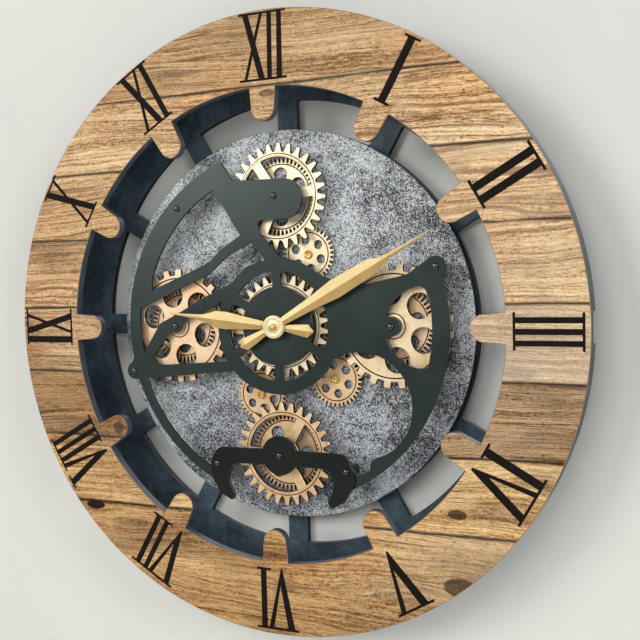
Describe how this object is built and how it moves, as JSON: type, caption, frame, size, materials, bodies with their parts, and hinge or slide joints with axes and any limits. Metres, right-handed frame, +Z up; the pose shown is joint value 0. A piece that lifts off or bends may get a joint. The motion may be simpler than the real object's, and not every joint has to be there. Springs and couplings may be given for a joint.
{
  "type": "wall clock",
  "caption": "Round wall clock with a wooden Roman numeral dial ring round a stone-look disc that carries a train of open wheels behind a skeleton plate.",
  "frame": {"origin": "centre of the clock on its back face, which lies against the wall", "axes": "+Y into the wall, -Y towards the viewer, +Z up to the 12, +X towards the 3"},
  "size_m": [0.6, 0.06, 0.6],
  "materials": {
    "wood": "printed plank pattern, matt",
    "frame": "dark cloudy paint, matt",
    "stone": "printed granite speckle, matt",
    "plate": "matt dark green-grey",
    "gold": "antique pale gold paint",
    "bronze": "antique copper gold paint",
    "hands": "satin gold",
    "brass": "satin",
    "black_steel": "blackened",
    "black_plastic": "matt",
    "white_plastic": "matt",
    "cell": "plain sleeve"
  },
  "bodies": {
    "case": {"dial_ring": "wood", "rim_band": "frame", "back_frame": "frame", "stone_disc": "stone", "rim_post_2": "black_plastic", "rim_post_4": "black_plastic", "rim_post_6": "black_plastic", "rim_post_8": "black_plastic", "rim_post_10": "black_plastic", "rim_post_12": "black_plastic", "disc_standoff_4": "black_plastic", "disc_standoff_8": "black_plastic", "disc_standoff_12": "black_plastic", "main_plate": "plate", "bottom_bridge": "plate", "plate_post_upper_left": "black_steel", "plate_post_lobe_left": "black_steel", "plate_post_lobe_right": "black_steel", "plate_post_foot_left": "black_steel", "plate_post_foot_right": "black_steel", "plate_screw_upper_left": "black_steel", "plate_screw_lobe_left": "black_steel", "plate_screw_lobe_right": "black_steel", "plate_screw_foot_left": "black_steel", "plate_screw_foot_right": "black_steel", "pivot_screw_top": "black_steel", "pivot_screw_bottom": "black_steel", "pivot_screw_left": "black_steel", "pivot_screw_right": "black_steel", "top_idler_pin": "brass", "bottom_idler_pin": "brass", "right_idler_pin": "brass", "left_link_pin": "brass", "right_link_pin": "brass", "movement_sleeve": "brass", "movement_nut": "brass", "gear_motor": "black_steel", "movement_case": "black_plastic", "cell_box": "black_plastic", "movement_cell": "cell", "motor_cell": "cell"},
    "centre_gear": {"centre_wheel": "gold", "centre_fine_wheel": "bronze"},
    "top_gear": {"top_wheel": "gold", "top_fine_wheel": "gold"},
    "bottom_gear": {"bottom_wheel": "bronze", "bottom_fine_wheel": "gold"},
    "left_gear": {"left_wheel": "bronze", "left_fine_wheel": "bronze"},
    "right_gear": {"right_wheel": "gold", "right_fine_wheel": "bronze"},
    "top_idler": {"top_idler": "gold"},
    "bottom_idler": {"bottom_idler": "gold"},
    "right_idler": {"right_idler": "gold"},
    "left_link": {"left_link": "bronze"},
    "right_link": {"right_link": "bronze"},
    "motor_pinion": {"motor_pinion": "white_plastic"},
    "minute_hand": {"minute_hand": "hands", "hand_nut": "brass"},
    "hour_hand": {"hour_hand": "hands"}
  },
  "joints": [
    {"name": "centre_gear_spin", "type": "hinge", "parent": "case", "child": "centre_gear", "pos_m": [0, -0.035, 0], "axis": [0, 1, 0], "continuous": true},
    {"name": "top_gear_spin", "type": "hinge", "parent": "case", "child": "top_gear", "pos_m": [0, -0.035, 0.127], "axis": [0, 1, 0], "continuous": true},
    {"name": "bottom_gear_spin", "type": "hinge", "parent": "case", "child": "bottom_gear", "pos_m": [0, -0.035, -0.127], "axis": [0, 1, 0], "continuous": true},
    {"name": "left_gear_spin", "type": "hinge", "parent": "case", "child": "left_gear", "pos_m": [-0.1175, -0.035, 0], "axis": [0, 1, 0], "continuous": true},
    {"name": "right_gear_spin", "type": "hinge", "parent": "case", "child": "right_gear", "pos_m": [0.1175, -0.035, 0], "axis": [0, 1, 0], "continuous": true},
    {"name": "top_idler_spin", "type": "hinge", "parent": "case", "child": "top_idler", "pos_m": [0.02783, -0.035, 0.06965], "axis": [0, 1, 0], "continuous": true},
    {"name": "bottom_idler_spin", "type": "hinge", "parent": "case", "child": "bottom_idler", "pos_m": [-0.02783, -0.035, -0.06965], "axis": [0, 1, 0], "continuous": true},
    {"name": "right_idler_spin", "type": "hinge", "parent": "case", "child": "right_idler", "pos_m": [0.05386, -0.035, -0.05219], "axis": [0, 1, 0], "continuous": true},
    {"name": "left_link_spin", "type": "hinge", "parent": "case", "child": "left_link", "pos_m": [-0.06439, -0.035, 0.00381], "axis": [0, 1, 0], "continuous": true},
    {"name": "right_link_spin", "type": "hinge", "parent": "case", "child": "right_link", "pos_m": [0.06439, -0.035, -0.00381], "axis": [0, 1, 0], "continuous": true},
    {"name": "motor_pinion_spin", "type": "hinge", "parent": "case", "child": "motor_pinion", "pos_m": [-0.05001, -0.035, -0.02888], "axis": [0, 1, 0], "continuous": true},
    {"name": "minute_hand_spin", "type": "hinge", "parent": "case", "child": "minute_hand", "pos_m": [0, -0.035, 0], "axis": [0, 1, 0], "continuous": true},
    {"name": "hour_hand_spin", "type": "hinge", "parent": "case", "child": "hour_hand", "pos_m": [0, -0.035, 0], "axis": [0, 1, 0], "continuous": true}
  ],
  "couplings": [
    {"joint": "top_gear_spin", "follows": "centre_gear_spin", "ratio": 1.3},
    {"joint": "bottom_gear_spin", "follows": "centre_gear_spin", "ratio": 1.3},
    {"joint": "left_gear_spin", "follows": "centre_gear_spin", "ratio": 1.3},
    {"joint": "right_gear_spin", "follows": "centre_gear_spin", "ratio": 1.3},
    {"joint": "top_idler_spin", "follows": "centre_gear_spin", "ratio": -1.8571},
    {"joint": "bottom_idler_spin", "follows": "centre_gear_spin", "ratio": -1.8571},
    {"joint": "right_idler_spin", "follows": "centre_gear_spin", "ratio": -1.8571},
    {"joint": "left_link_spin", "follows": "centre_gear_spin", "ratio": -3.0952},
    {"joint": "right_link_spin", "follows": "centre_gear_spin", "ratio": -3.0952},
    {"joint": "motor_pinion_spin", "follows": "centre_gear_spin", "ratio": -5.4167},
    {"joint": "hour_hand_spin", "follows": "minute_hand_spin", "ratio": 0.083333}
  ]
}
